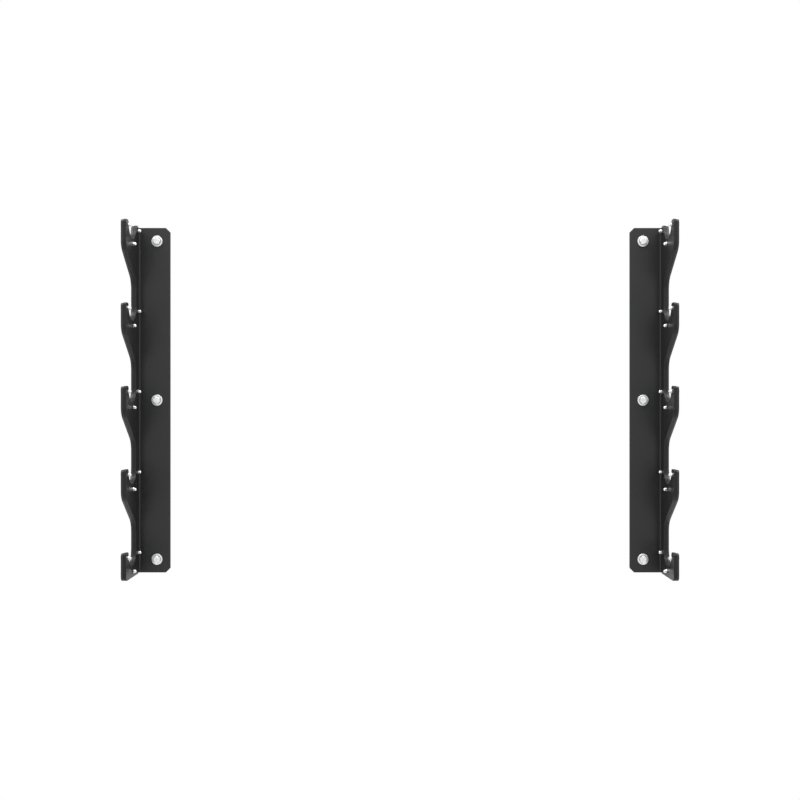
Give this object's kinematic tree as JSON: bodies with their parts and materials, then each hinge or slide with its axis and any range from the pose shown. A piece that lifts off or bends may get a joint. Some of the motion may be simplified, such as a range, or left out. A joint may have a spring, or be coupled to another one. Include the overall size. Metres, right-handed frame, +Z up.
{
  "type": "barbell storage rack",
  "caption": "Wall-mounted storage rack for barbells: a pair of bent steel brackets with upturned hooks, lined inside with plastic plates where the bars rest.",
  "frame": {"origin": "on the wall's surface, at the middle of the four corner lag screws", "axes": "+X to the viewer's right along the wall, -Y out of the wall towards the room, +Z up"},
  "size_m": [1.0722, 0.1752, 0.694],
  "materials": {
    "powder_coated_steel": "black powder coat, satin",
    "black_plastic": "black polyethylene, fine satin",
    "zinc_lag_screw": "bright zinc plate",
    "zinc_washer": "bright zinc plate",
    "zinc_screw": "bright zinc plate",
    "bright_nut": "bright nickel plate"
  },
  "bodies": {
    "root": {"left_bracket": "powder_coated_steel", "left_liner": "black_plastic", "left_top_lag_screw": "zinc_lag_screw", "left_middle_lag_screw": "zinc_lag_screw", "left_bottom_lag_screw": "zinc_lag_screw", "left_top_washer": "zinc_washer", "left_middle_washer": "zinc_washer", "left_bottom_washer": "zinc_washer", "left_hook_1_liner_screws": "zinc_screw", "left_hook_2_liner_screws": "zinc_screw", "left_hook_3_liner_screws": "zinc_screw", "left_hook_4_liner_screws": "zinc_screw", "left_hook_5_liner_screws": "zinc_screw", "left_hook_1_cap_nuts": "bright_nut", "left_hook_2_cap_nuts": "bright_nut", "left_hook_3_cap_nuts": "bright_nut", "left_hook_4_cap_nuts": "bright_nut", "left_hook_5_cap_nuts": "bright_nut", "right_bracket": "powder_coated_steel", "right_liner": "black_plastic", "right_top_lag_screw": "zinc_lag_screw", "right_middle_lag_screw": "zinc_lag_screw", "right_bottom_lag_screw": "zinc_lag_screw", "right_top_washer": "zinc_washer", "right_middle_washer": "zinc_washer", "right_bottom_washer": "zinc_washer", "right_hook_1_liner_screws": "zinc_screw", "right_hook_2_liner_screws": "zinc_screw", "right_hook_3_liner_screws": "zinc_screw", "right_hook_4_liner_screws": "zinc_screw", "right_hook_5_liner_screws": "zinc_screw", "right_hook_1_cap_nuts": "bright_nut", "right_hook_2_cap_nuts": "bright_nut", "right_hook_3_cap_nuts": "bright_nut", "right_hook_4_cap_nuts": "bright_nut", "right_hook_5_cap_nuts": "bright_nut"}
  },
  "joints": []
}
